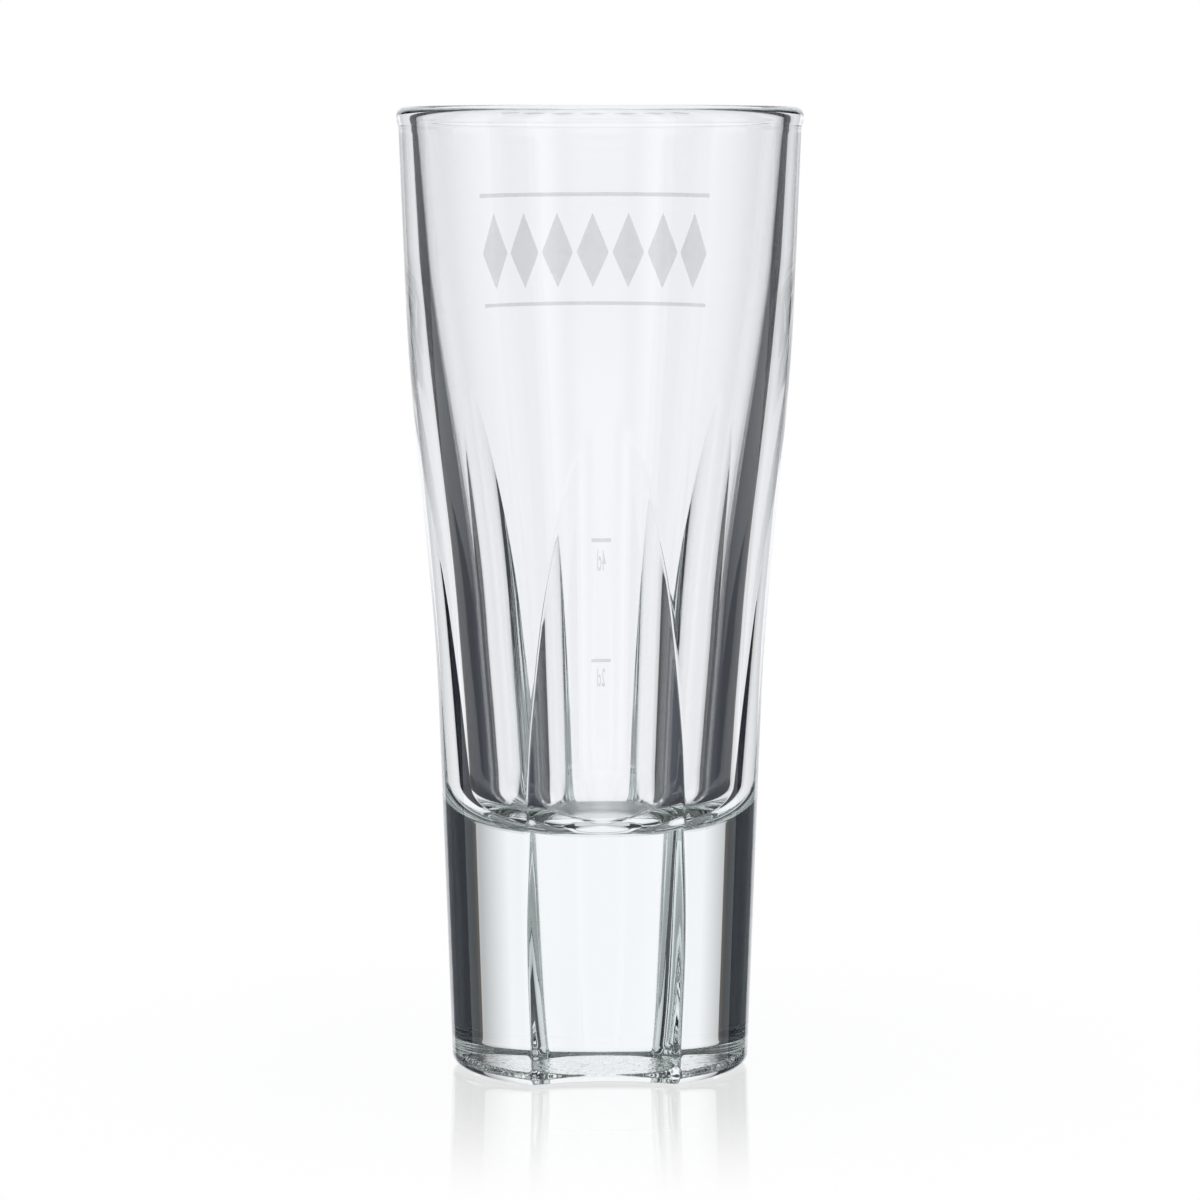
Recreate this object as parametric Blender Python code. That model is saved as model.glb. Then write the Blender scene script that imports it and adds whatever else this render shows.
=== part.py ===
"""Tall fluted liqueur glass with fired enamel print, in metres, +Z up.

The glass is one pressed piece: a heavy solid foot, a tapered bore and a rounded rim.
Wide hollow flutes run up from the foot and fade out where the body swells into its cone.
The first flute faces -Y. The print lies on the round wall opposite, at +Y, and reads from there.
"""

import math

import bmesh
import bpy

# Overall outline of the glass
GLASS_HEIGHT = 0.1430
FOOT_RADIUS = 0.02217
FOOT_TAPER = 0.0355
RIM_RADIUS = 0.02986
RIM_TAPER = 0.038
SWELL_BOTTOM = 0.055
SWELL_TOP = 0.114

# Rounded rim, with a bead that bulges a little from the wall below it
RIM_WALL = 0.00255
RIM_BEAD = 0.00028
RIM_BEAD_DROP = 0.0015

# Bore that holds the drink
BORE_FLOOR = 0.0363
BORE_FOOT_RADIUS = 0.01617
BORE_FOOT_TAPER = 0.074
BORE_MOUTH_TAPER = 0.080
BORE_SWELL_BOTTOM = 0.066
BORE_SWELL_TOP = 0.1215
BORE_CORNER_RADIUS = 0.007

# Hollow flutes, each the track of a round bar that leans away from the axis
FLUTE_COUNT = 3
FLUTE_FLOOR_RADIUS = 0.0172
FLUTE_FOOT_LEAN = 0.063
FLUTE_TOP_LEAN = 0.180
FLUTE_BEND_BOTTOM = 0.047
FLUTE_BEND_TOP = 0.077
FLUTE_FOOT_CURVE = 0.031
FLUTE_BODY_CURVE = 0.072
FLUTE_CURVE_HEIGHT = 0.034

# Underside: a flat ring to stand on, round a shallow recess
FOOT_EDGE_RADIUS = 0.0014
FOOT_RING_WIDTH = 0.0022
RECESS_DEPTH = 0.0008
RECESS_SLOPE_WIDTH = 0.0008

# Enamel print on the back wall
ENAMEL_THICKNESS = 0.00012
ENAMEL_CLEARANCE = 0.00006
FILL_VOLUMES = {"fill_line_2cl": 20e-6, "fill_line_4cl": 40e-6}
FILL_LINE_WIDTH = 0.008
FILL_LINE_HEIGHT = 0.00055
BAND_BELOW_RIM = 0.0237
BAND_WIDTH = 0.042
RULE_SPACING = 0.0176
RULE_HEIGHT = 0.0006
LOZENGE_COUNT = 7
LOZENGE_GAP = 0.0008
LOZENGE_HEIGHT = 0.0120
LOZENGE_TIP = 0.0003

# Fineness of the facets
FLUTE_SEGMENTS = 8
ROUND_SEGMENTS = 12
BODY_RINGS = 33
BEAD_RINGS = 4
BORE_RINGS = 22
ARC_SEGMENTS = 6
ENAMEL_STEP = 0.0012
VOLUME_SLICES = 2000

# Directions round the axis, and the share of a sector that a flute may span in the mesh
FRONT_ANGLE = -math.pi / 2
BACK_ANGLE = math.pi / 2
SECTOR_ANGLE = 2 * math.pi / FLUTE_COUNT
WIDEST_FLUTE_SHARE = 0.46
NARROWEST_FLUTE_SHARE = 0.06
RIM_FLUTE_SHARE = 0.19

# Finishes
GLASS_COLOUR = (0.96, 0.98, 0.97, 1.0)
GLASS_IOR = 1.52
ENAMEL_COLOUR = (0.78, 0.79, 0.80, 1.0)


def smoothstep(low, high, value):
    """Ease from 0 at low to 1 at high."""
    t = min(max((value - low) / (high - low), 0.0), 1.0)
    return t * t * (3.0 - 2.0 * t)


def rim_centre():
    """Height of the centre of the rim's half-round section."""
    return GLASS_HEIGHT - (RIM_WALL + RIM_BEAD) / 2


def bead_start():
    """Height at which the bead begins to bulge from the wall."""
    return rim_centre() - RIM_BEAD_DROP


def wall_radius(z):
    """Outer radius of the round sectors at height z, without flutes."""
    lower = FOOT_RADIUS + FOOT_TAPER * z
    upper = RIM_RADIUS - RIM_TAPER * (GLASS_HEIGHT - z)
    below = min(max((rim_centre() - z) / RIM_BEAD_DROP, 0.0), 1.0)
    bead = RIM_BEAD * (1.0 - below ** 2)
    return lower + (upper - lower) * smoothstep(SWELL_BOTTOM, SWELL_TOP, z) + bead


def bore_radius(z):
    """Radius of the bore at height z, above its rounded corner."""
    lower = BORE_FOOT_RADIUS + BORE_FOOT_TAPER * (z - BORE_FLOOR)
    upper = RIM_RADIUS - RIM_WALL - BORE_MOUTH_TAPER * (GLASS_HEIGHT - z)
    return lower + (upper - lower) * smoothstep(BORE_SWELL_BOTTOM, BORE_SWELL_TOP, z)


def bore_radius_with_corner(z):
    """Radius of the bore at height z, with the rounded corner at its floor."""
    corner_top = BORE_FLOOR + BORE_CORNER_RADIUS
    if z >= corner_top:
        return bore_radius(z)
    drop = corner_top - z
    reach = math.sqrt(BORE_CORNER_RADIUS ** 2 - drop ** 2)
    return bore_radius(corner_top) - BORE_CORNER_RADIUS + reach


def flute_floor(z):
    """Distance from the axis to the deepest line of a flute at height z."""
    bend_length = FLUTE_BEND_TOP - FLUTE_BEND_BOTTOM
    bent = min(max(z - FLUTE_BEND_BOTTOM, 0.0), bend_length)
    above = max(z - FLUTE_BEND_TOP, 0.0)
    lean_gain = FLUTE_TOP_LEAN - FLUTE_FOOT_LEAN
    swing = lean_gain * (bent * bent / (2.0 * bend_length) + above)
    return FLUTE_FLOOR_RADIUS + FLUTE_FOOT_LEAN * z + swing


def flute_curve(z):
    """Radius of a flute's hollow at height z."""
    opening = smoothstep(0.0, FLUTE_CURVE_HEIGHT, z)
    return FLUTE_FOOT_CURVE + (FLUTE_BODY_CURVE - FLUTE_FOOT_CURVE) * opening


def flute_half_angle(z):
    """Angle from a flute's middle to its ridges at height z, or 0 above the flute."""
    radius = wall_radius(z)
    curve = flute_curve(z)
    centre = flute_floor(z) + curve
    if centre - curve >= radius:
        return 0.0
    cosine = (radius ** 2 + centre ** 2 - curve ** 2) / (2.0 * radius * centre)
    return math.acos(min(cosine, 1.0))


def fluted_radius(z, offset):
    """Outer radius at height z and at an angle from a flute's middle."""
    curve = flute_curve(z)
    centre = flute_floor(z) + curve
    across = centre * math.sin(offset)
    if abs(across) >= curve:
        return wall_radius(z)
    hollow = centre * math.cos(offset) - math.sqrt(curve ** 2 - across ** 2)
    return min(wall_radius(z), hollow)


def sector_angles(z):
    """Angles of one sector's points, from one ridge over the flute to the next sector's ridge."""
    share = flute_half_angle(z) / SECTOR_ANGLE
    rest = RIM_FLUTE_SHARE * smoothstep(FLUTE_BEND_TOP, GLASS_HEIGHT, z)
    share = min(max(share, rest, NARROWEST_FLUTE_SHARE), WIDEST_FLUTE_SHARE)
    half = share * SECTOR_ANGLE
    round_angle = SECTOR_ANGLE - 2.0 * half
    flute = [-half + 2.0 * half * i / FLUTE_SEGMENTS for i in range(FLUTE_SEGMENTS)]
    wall = [half + round_angle * i / ROUND_SEGMENTS for i in range(ROUND_SEGMENTS)]
    return flute + wall


def ring(z, radius_at, level=None):
    """Points round the axis whose radius is radius_at(offset from the flute's middle)."""
    points = []
    height = z if level is None else level
    for sector in range(FLUTE_COUNT):
        middle = FRONT_ANGLE + sector * SECTOR_ANGLE
        for offset in sector_angles(z):
            angle = middle + offset
            radius = radius_at(offset)
            points.append((radius * math.cos(angle), radius * math.sin(angle), height))
    return points


def round_ring(z, radius, level):
    """Points of a plain circle at the given level, spaced as the body is at height z."""
    return ring(z, lambda offset: radius, level)


def foot_rings():
    """Rings of the underside, from the recess out over the standing ring and the foot's round edge."""
    recess = FLUTE_FLOOR_RADIUS - FOOT_EDGE_RADIUS - FOOT_RING_WIDTH
    rings = [
        round_ring(0.0, recess - RECESS_SLOPE_WIDTH, RECESS_DEPTH),
        round_ring(0.0, recess, 0.0),
    ]
    for step in range(ARC_SEGMENTS):
        turn = math.pi / 2 * step / ARC_SEGMENTS
        inset = FOOT_EDGE_RADIUS * (1.0 - math.sin(turn))
        level = FOOT_EDGE_RADIUS * (1.0 - math.cos(turn))
        rings.append(ring(level, lambda offset: fluted_radius(level, offset) - inset))
    return rings


def body_levels():
    """Heights of the outer wall's rings, closer together on the bead."""
    rise = bead_start() - FOOT_EDGE_RADIUS
    plain = [FOOT_EDGE_RADIUS + rise * step / BODY_RINGS for step in range(BODY_RINGS)]
    bead = [bead_start() + RIM_BEAD_DROP * step / BEAD_RINGS for step in range(BEAD_RINGS + 1)]
    return plain + bead


def body_rings():
    """Rings of the outer wall, from the top of the foot's edge to the foot of the rim's round."""
    rings = []
    for z in body_levels():
        rings.append(ring(z, lambda offset: fluted_radius(z, offset)))
    return rings


def rim_rings():
    """Rings over the half-round rim, from the outer wall to the bore."""
    centre_z = rim_centre()
    half_wall = GLASS_HEIGHT - centre_z
    outer = wall_radius(centre_z)
    inner = bore_radius(centre_z)
    middle = (outer + inner) / 2
    reach = (outer - inner) / 2
    rings = []
    for step in range(1, 2 * ARC_SEGMENTS):
        turn = math.pi / 2 * step / ARC_SEGMENTS
        level = centre_z + half_wall * math.sin(turn)
        rings.append(round_ring(centre_z, middle + reach * math.cos(turn), level))
    return rings


def bore_rings():
    """Rings down the bore, from the rim's round to the floor."""
    top = rim_centre()
    corner_top = BORE_FLOOR + BORE_CORNER_RADIUS
    rings = []
    for step in range(BORE_RINGS + 1):
        z = top + (corner_top - top) * step / BORE_RINGS
        rings.append(round_ring(top, bore_radius(z), z))
    for step in range(1, ARC_SEGMENTS + 1):
        turn = math.pi / 2 * step / ARC_SEGMENTS
        level = corner_top - BORE_CORNER_RADIUS * math.sin(turn)
        radius = bore_radius(corner_top) - BORE_CORNER_RADIUS * (1.0 - math.cos(turn))
        rings.append(round_ring(top, radius, level))
    return rings


def fill_height(volume):
    """Height at which the bore holds the given volume."""
    step = (GLASS_HEIGHT - BORE_FLOOR) / VOLUME_SLICES
    held = 0.0
    z = BORE_FLOOR
    while held < volume and z < rim_centre():
        held += math.pi * bore_radius_with_corner(z + step / 2) ** 2 * step
        z += step
    return z


def principled(name, colour, roughness, transmission=0.0, ior=1.45):
    """Make a material from one Principled BSDF."""
    material = bpy.data.materials.new(name)
    material.use_nodes = True
    shader = material.node_tree.nodes["Principled BSDF"]
    shader.inputs["Base Color"].default_value = colour
    shader.inputs["Roughness"].default_value = roughness
    shader.inputs["Metallic"].default_value = 0.0
    shader.inputs["Transmission Weight"].default_value = transmission
    shader.inputs["IOR"].default_value = ior
    return material


def add_object(name, bm, material, smooth_angle):
    """Turn a bmesh into a named object with smooth round faces."""
    bmesh.ops.recalc_face_normals(bm, faces=bm.faces)
    mesh = bpy.data.meshes.new(name)
    bm.to_mesh(mesh)
    bm.free()
    mesh.shade_smooth()
    mesh.set_sharp_from_angle(angle=smooth_angle)
    mesh.materials.append(material)
    obj = bpy.data.objects.new(name, mesh)
    bpy.context.scene.collection.objects.link(obj)
    return obj


def loft(rings):
    """Skin a list of rings into one closed body, with both end rings filled."""
    bm = bmesh.new()
    loops = [[bm.verts.new(point) for point in points] for points in rings]
    for lower, upper in zip(loops, loops[1:]):
        for i in range(len(lower)):
            j = (i + 1) % len(lower)
            bm.faces.new((lower[i], lower[j], upper[j], upper[i]))
    bm.faces.new(loops[0])
    bm.faces.new(loops[-1])
    return bm


def enamel_strip(columns):
    """Closed strip of enamel on the back wall from columns of (distance along, low, high)."""
    bm = bmesh.new()
    sections = []
    for along, low, high in columns:
        section = []
        for z, height in ((low, ENAMEL_CLEARANCE), (high, ENAMEL_CLEARANCE),
                          (high, ENAMEL_CLEARANCE + ENAMEL_THICKNESS),
                          (low, ENAMEL_CLEARANCE + ENAMEL_THICKNESS)):
            radius = wall_radius(z) + height
            angle = BACK_ANGLE + along / wall_radius((low + high) / 2)
            section.append(bm.verts.new((radius * math.cos(angle), radius * math.sin(angle), z)))
        sections.append(section)
    for near, far in zip(sections, sections[1:]):
        for i in range(4):
            j = (i + 1) % 4
            bm.faces.new((near[i], near[j], far[j], far[i]))
    bm.faces.new(sections[0])
    bm.faces.new(sections[-1])
    return bm


def even_steps(length):
    """Even places along a length, close enough for the strip to follow the round wall."""
    count = 2 * max(1, math.ceil(length / ENAMEL_STEP / 2))
    return [length * (i / count - 0.5) for i in range(count + 1)]


def band_middle():
    """Height of the middle of the lozenge band."""
    return GLASS_HEIGHT - BAND_BELOW_RIM


def rule_columns(middle_z, width, height):
    """Columns of a straight printed line."""
    return [(along, middle_z - height / 2, middle_z + height / 2) for along in even_steps(width)]


def lozenge_columns(middle, width):
    """Columns of one printed lozenge, with its side tips cut blunt."""
    columns = []
    for along in even_steps(width):
        share = 1.0 - abs(along) / (width / 2)
        half = LOZENGE_TIP / 2 + (LOZENGE_HEIGHT - LOZENGE_TIP) / 2 * share
        columns.append((middle + along, band_middle() - half, band_middle() + half))
    return columns


def build_glass():
    """Build the pressed glass as one lofted skin."""
    material = principled("clear_glass", GLASS_COLOUR, 0.0, transmission=1.0, ior=GLASS_IOR)
    rings = foot_rings() + body_rings() + rim_rings() + bore_rings()
    add_object("glass_body", loft(rings), material, math.radians(14))


def build_print():
    """Build the fill lines and the lozenge band between its two rules."""
    material = principled("pale_enamel", ENAMEL_COLOUR, 0.45)
    crisp = math.radians(30)
    for name, volume in FILL_VOLUMES.items():
        columns = rule_columns(fill_height(volume), FILL_LINE_WIDTH, FILL_LINE_HEIGHT)
        add_object(name, enamel_strip(columns), material, crisp)
    for name, side in (("band_rule_lower", -0.5), ("band_rule_upper", 0.5)):
        middle_z = band_middle() + side * RULE_SPACING
        add_object(name, enamel_strip(rule_columns(middle_z, BAND_WIDTH, RULE_HEIGHT)), material, crisp)
    pitch = BAND_WIDTH / LOZENGE_COUNT
    for index in range(LOZENGE_COUNT):
        middle = (index - (LOZENGE_COUNT - 1) / 2) * pitch
        columns = lozenge_columns(middle, pitch - LOZENGE_GAP)
        add_object(f"band_lozenge_{index + 1}", enamel_strip(columns), material, crisp)


def main():
    for obj in list(bpy.data.objects):
        bpy.data.objects.remove(obj)
    build_glass()
    build_print()


main()
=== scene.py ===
"""Studio picture of a tall fluted liqueur glass with pale enamel print, in metres, +Z up.

The glass stands on the origin. Its first flute faces -Y, and the print lies on the round wall at
+Y. Each class makes one sub-assembly, one finish or one part of the studio, and main() builds them
in order.
"""

import logging
import math
from dataclasses import dataclass, fields, replace
from enum import Enum
from functools import cached_property
from typing import Any, ClassVar, Mapping, Optional, Sequence, Union

import bpy
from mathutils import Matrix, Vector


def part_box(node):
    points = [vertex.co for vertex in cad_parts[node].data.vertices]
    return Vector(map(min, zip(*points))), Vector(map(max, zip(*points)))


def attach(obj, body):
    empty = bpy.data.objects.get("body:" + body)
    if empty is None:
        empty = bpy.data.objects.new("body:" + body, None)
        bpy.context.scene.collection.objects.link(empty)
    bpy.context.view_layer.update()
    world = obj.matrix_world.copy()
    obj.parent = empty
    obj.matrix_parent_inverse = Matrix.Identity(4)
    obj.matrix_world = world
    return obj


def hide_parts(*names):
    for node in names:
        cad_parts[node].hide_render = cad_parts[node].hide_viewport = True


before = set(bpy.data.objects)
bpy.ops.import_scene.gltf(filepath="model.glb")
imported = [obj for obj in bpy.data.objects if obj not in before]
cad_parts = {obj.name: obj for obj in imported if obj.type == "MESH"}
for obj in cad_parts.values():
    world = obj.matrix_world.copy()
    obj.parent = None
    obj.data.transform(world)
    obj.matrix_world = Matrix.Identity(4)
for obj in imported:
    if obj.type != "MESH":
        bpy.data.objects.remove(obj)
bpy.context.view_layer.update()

LOG = logging.getLogger("liqueur_glass")
BODY = "root"
HALF_TURN = math.pi
QUARTER_TURN = math.pi / 2
DEGREES = math.degrees(1.0)
NOISE_MIDDLE = 0.5

Colour = tuple[float, float, float]
Stops = tuple[tuple[float, Colour], ...]
FloorPlace = tuple[float, float]
Term = Union["Value", float]


class Stretch(Enum):
    """Stretches of the glass's profile, from the middle of its underside to the bore's floor."""

    RECESS = "stippled middle of the underside"
    SLOPE = "slope from the recess to the standing ring"
    STANDING_RING = "flat ring that the glass stands on"
    FOOT_EDGE = "round edge of the foot"
    WALL = "outer wall with its flutes"
    RIM = "half-round rim"
    BORE = "wall of the bore"
    CORNER = "round corner of the bore"
    FLOOR = "floor of the bore"


class Slot(Enum):
    """Finishes that the record knows."""

    GLASS = "clear_glass"
    ENAMEL = "pale_enamel"


class Value:
    """A number in a node tree that Python operators turn into Math nodes."""

    def __init__(self, plan: "NodePlan", socket: bpy.types.NodeSocket) -> None:
        """Keep the socket and the plan that it belongs to."""
        self.plan = plan
        self.socket = socket

    def _math(self, operation: str, *terms: Term) -> "Value":
        """Add one Math node.

        Args:
            operation: The Math node's operation.
            terms: The numbers or values that it works on, in order.

        Returns:
            The node's result.
        """
        return self.plan.value("ShaderNodeMath", {"operation": operation}, dict(enumerate(terms)))

    def __add__(self, other: Term) -> "Value":
        """Sum of the two."""
        return self._math("ADD", self, other)

    __radd__ = __add__

    def __sub__(self, other: Term) -> "Value":
        """Difference of the two."""
        return self._math("SUBTRACT", self, other)

    def __rsub__(self, other: Term) -> "Value":
        """Difference of the two, the other first."""
        return self._math("SUBTRACT", other, self)

    def __mul__(self, other: Term) -> "Value":
        """Product of the two."""
        return self._math("MULTIPLY", self, other)

    __rmul__ = __mul__

    def __truediv__(self, other: Term) -> "Value":
        """Quotient of the two."""
        return self._math("DIVIDE", self, other)

    def __rtruediv__(self, other: Term) -> "Value":
        """Quotient of the two, the other first."""
        return self._math("DIVIDE", other, self)

    def __abs__(self) -> "Value":
        """The value without its sign."""
        return self._math("ABSOLUTE", self)

    def sin(self) -> "Value":
        """Sine of an angle."""
        return self._math("SINE", self)

    def cos(self) -> "Value":
        """Cosine of an angle."""
        return self._math("COSINE", self)

    def arccos(self) -> "Value":
        """Angle with this cosine, which is held to the range of a cosine."""
        return self._math("ARCCOSINE", self.at_least(-1.0).at_most(1.0))

    def arcsin(self) -> "Value":
        """Angle with this sine."""
        return self._math("ARCSINE", self)

    def bearing(self, other: Term) -> "Value":
        """Angle whose tangent is this over the other, all the way round."""
        return self._math("ARCTAN2", self, other)

    def root(self) -> "Value":
        """Square root, or 0 below 0."""
        return self._math("SQRT", self.at_least(0.0))

    def floor(self) -> "Value":
        """Whole number at or below the value."""
        return self._math("FLOOR", self)

    def at_least(self, low: Term) -> "Value":
        """The larger of the two."""
        return self._math("MAXIMUM", self, low)

    def at_most(self, high: Term) -> "Value":
        """The smaller of the two."""
        return self._math("MINIMUM", self, high)

    def soft_least(self, other: Term, blend: Term) -> "Value":
        """The smaller of the two, eased over the blend where they cross."""
        return self._math("SMOOTH_MIN", self, other, blend)

    def share(self, low: Term = 0.0, high: Term = 1.0) -> "Value":
        """Straight ramp from 0 at low to 1 at high."""
        return self.plan.value(
            "ShaderNodeMapRange", {}, {"Value": self, "From Min": low, "From Max": high},
        )

    def ease(self, low: Term = 0.0, high: Term = 1.0) -> "Value":
        """Smooth ramp from 0 at low to 1 at high."""
        return self.plan.value(
            "ShaderNodeMapRange", {"interpolation_type": "SMOOTHSTEP"},
            {"Value": self, "From Min": low, "From Max": high},
        )

    def toward(self, other: Term, factor: Term) -> "Value":
        """Mix of this and the other by a factor from 0 to 1."""
        return self + (other - self) * factor


class NodePlan:
    """A node tree that is written as Python expressions."""

    def __init__(self, tree: bpy.types.NodeTree) -> None:
        """Take over a tree and clear it."""
        self.tree = tree
        tree.nodes.clear()

    def add(
        self, kind: str, settings: Optional[Mapping[str, Any]] = None,
        sockets: Optional[Mapping[Union[str, int], Any]] = None,
    ) -> bpy.types.Node:
        """Add one node, with its settings first and then its sockets.

        Args:
            kind: The node's type.
            settings: The node's own properties, or a ramp's stops under "stops".
            sockets: Values, sockets or plain numbers for the node's inputs, by name or place.

        Returns:
            The new node.
        """
        node = self.tree.nodes.new(kind)
        for name, setting in (settings or {}).items():
            if name == "stops":
                self._set_stops(node.color_ramp, setting)
            else:
                setattr(node, name, setting)
        for name, given in (sockets or {}).items():
            if isinstance(given, Value):
                given = given.socket
            if isinstance(given, bpy.types.NodeSocket):
                self.tree.links.new(given, node.inputs[name])
            else:
                node.inputs[name].default_value = given
        return node

    @staticmethod
    def _set_stops(ramp: bpy.types.ColorRamp, stops: Stops) -> None:
        """Give a colour ramp its stops.

        Args:
            ramp: The ramp, with its two first stops.
            stops: Places from 0 to 1 with their colours, in order.
        """
        while len(ramp.elements) < len(stops):
            ramp.elements.new(1.0)
        for element, (place, colour) in zip(ramp.elements, stops):
            element.position = place
            element.color = (*colour, 1.0)

    def value(
        self, kind: str, settings: Optional[Mapping[str, Any]] = None,
        sockets: Optional[Mapping[Union[str, int], Any]] = None, output: Union[str, int] = 0,
    ) -> Value:
        """Add one node and take one of its outputs as a number.

        Args:
            kind: The node's type.
            settings: The node's own properties.
            sockets: What its inputs get.
            output: The name or place of the output.

        Returns:
            The output, ready for arithmetic.
        """
        return Value(self, self.add(kind, settings, sockets).outputs[output])


class GeometryPlan(NodePlan):
    """A Geometry Nodes tree with named sizes as its inputs, which ends as one plain mesh."""

    def __init__(self, name: str) -> None:
        """Start an empty tree that takes a flat mesh and sizes."""
        super().__init__(bpy.data.node_groups.new(name, "GeometryNodeTree"))
        for side in ("INPUT", "OUTPUT"):
            self.tree.interface.new_socket(
                "Geometry", in_out=side, socket_type="NodeSocketGeometry",
            )
        self.entry = self.add("NodeGroupInput")
        self.amounts: dict[str, float] = {}

    def size(self, name: str, amount: float) -> Value:
        """Declare one named size.

        Args:
            name: The input's name.
            amount: What the modifier sets it to.

        Returns:
            The size, ready for arithmetic.
        """
        socket = self.tree.interface.new_socket(
            name, in_out="INPUT", socket_type="NodeSocketFloat",
        )
        self.amounts[socket.identifier] = float(amount)
        found = next(one for one in self.entry.outputs if one.identifier == socket.identifier)
        return Value(self, found)

    def sized(self, sizes: Any) -> Any:
        """Declare every field of a dataclass of sizes.

        Args:
            sizes: The dataclass with plain numbers.

        Returns:
            A copy of it that holds the tree's inputs.
        """
        amounts = {one.name: getattr(sizes, one.name) for one in fields(sizes)}
        return replace(sizes, **{name: self.size(name, amount) for name, amount in amounts.items()})

    def place(self, geometry: bpy.types.NodeSocket, *axes: Term) -> bpy.types.NodeSocket:
        """Set the position of every point.

        Args:
            geometry: The mesh.
            axes: The new X, Y and Z.

        Returns:
            The moved mesh.
        """
        spot = self.add("ShaderNodeCombineXYZ", {}, dict(enumerate(axes)))
        moved = self.add("GeometryNodeSetPosition", {}, {
            "Geometry": geometry, "Position": spot.outputs[0],
        })
        return moved.outputs["Geometry"]

    def bake(
        self, name: str, geometry: bpy.types.NodeSocket, material: bpy.types.Material,
        flat: Optional[bpy.types.Mesh] = None,
    ) -> bpy.types.Object:
        """End the tree and turn its result into a plain mesh object.

        Args:
            name: The piece's name.
            geometry: The geometry that the tree ends with.
            material: The finish of the whole piece.
            flat: A mesh for the tree to start from, if it needs one.

        Returns:
            The finished piece, at the origin, with no modifier.
        """
        real = self.add("GeometryNodeRealizeInstances", {}, {"Geometry": geometry})
        smooth = self.add("GeometryNodeSetShadeSmooth", {}, {0: real.outputs[0]})
        dressed = self.add("GeometryNodeSetMaterial", {}, {
            "Geometry": smooth.outputs[0], "Material": material,
        })
        self.add("NodeGroupOutput", {}, {0: dressed.outputs[0]})
        start = flat or bpy.data.meshes.new(f"{name}_source")
        source = bpy.data.objects.new(f"{name}_source", start)
        bpy.context.scene.collection.objects.link(source)
        modifier = source.modifiers.new(name, "NODES")
        modifier.node_group = self.tree
        for identifier, amount in self.amounts.items():
            modifier[identifier] = amount
        depsgraph = bpy.context.evaluated_depsgraph_get()
        mesh = bpy.data.meshes.new_from_object(
            source.evaluated_get(depsgraph), depsgraph=depsgraph,
        )
        source.modifiers.remove(modifier)
        bpy.data.objects.remove(source)
        mesh.name = name
        piece = bpy.data.objects.new(name, mesh)
        bpy.context.scene.collection.objects.link(piece)
        return piece


@dataclass(frozen=True)
class ClearGlass:
    """Fire-polished soda-lime glass, faintly green where it is thick.

    Its skin waves slowly all over, swirls where the plunger chilled the floor of the bore, has
    fine lines along the ridges of the flutes, and is stippled under the foot.
    """

    name: str = "clear_glass"
    refraction: float = 1.52
    tint: Colour = (0.80, 0.93, 0.86)
    tint_density: float = 4.2
    wave_size: float = 0.018
    wave_depth: float = 0.000012
    wave_detail: float = 1.0
    swirl_size: float = 0.006
    swirl_depth: float = 0.00004
    swirl_detail: float = 2.0
    swirl_twist: float = 1.2
    seam_size: float = 0.0008
    seam_length: float = 0.03
    seam_depth: float = 0.000008
    seam_detail: float = 2.0
    stipple_size: float = 0.0007
    stipple_depth: float = 0.00010
    stipple_roughness: float = 0.12
    swirl_roughness: float = 0.35

    def material(self) -> bpy.types.Material:
        """Make the material.

        Returns:
            Clear glass whose bumps and haze follow the attributes that GlassBody stores.
        """
        material = bpy.data.materials.new(self.name)
        material.use_nodes = True
        plan = NodePlan(material.node_tree)
        place = plan.add("ShaderNodeTexCoord").outputs["Object"]
        stippled, chilled, seam = (
            plan.value("ShaderNodeAttribute", {"attribute_name": name}, {}, "Fac")
            for name in (GlassBody.STIPPLED, GlassBody.CHILLED, GlassBody.SEAM)
        )
        wave = plan.value("ShaderNodeTexNoise", {}, {
            "Vector": place, "Scale": 1.0 / self.wave_size, "Detail": self.wave_detail,
        }, "Fac")
        swirl = plan.value("ShaderNodeTexNoise", {}, {
            "Vector": place, "Scale": 1.0 / self.swirl_size, "Detail": self.swirl_detail,
            "Distortion": self.swirl_twist,
        }, "Fac")
        grains = plan.value("ShaderNodeTexVoronoi", {}, {
            "Vector": place, "Scale": 1.0 / self.stipple_size,
        }, "Distance")
        across, along = 1.0 / self.seam_size, 1.0 / self.seam_length
        drawn = plan.add("ShaderNodeVectorMath", {"operation": "MULTIPLY"}, {
            0: place, 1: (across, across, along),
        })
        lines = plan.value("ShaderNodeTexNoise", {}, {
            "Vector": drawn.outputs[0], "Scale": 1.0, "Detail": self.seam_detail,
        }, "Fac")
        height = wave * self.wave_depth + swirl * chilled * self.swirl_depth
        height = height + lines * seam * self.seam_depth + grains * stippled * self.stipple_depth
        bump = plan.add("ShaderNodeBump", {}, {"Distance": 1.0, "Height": height})
        surface = plan.add("ShaderNodeBsdfPrincipled", {}, {
            "Base Color": (1.0, 1.0, 1.0, 1.0), "IOR": self.refraction, "Transmission Weight": 1.0,
            "Roughness": stippled * self.stipple_roughness + chilled * self.swirl_roughness,
            "Normal": bump.outputs[0],
        })
        inside = plan.add("ShaderNodeVolumeAbsorption", {}, {
            "Color": (*self.tint, 1.0), "Density": self.tint_density,
        })
        plan.add("ShaderNodeOutputMaterial", {}, {
            "Surface": surface.outputs[0], "Volume": inside.outputs[0],
        })
        return material


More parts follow.
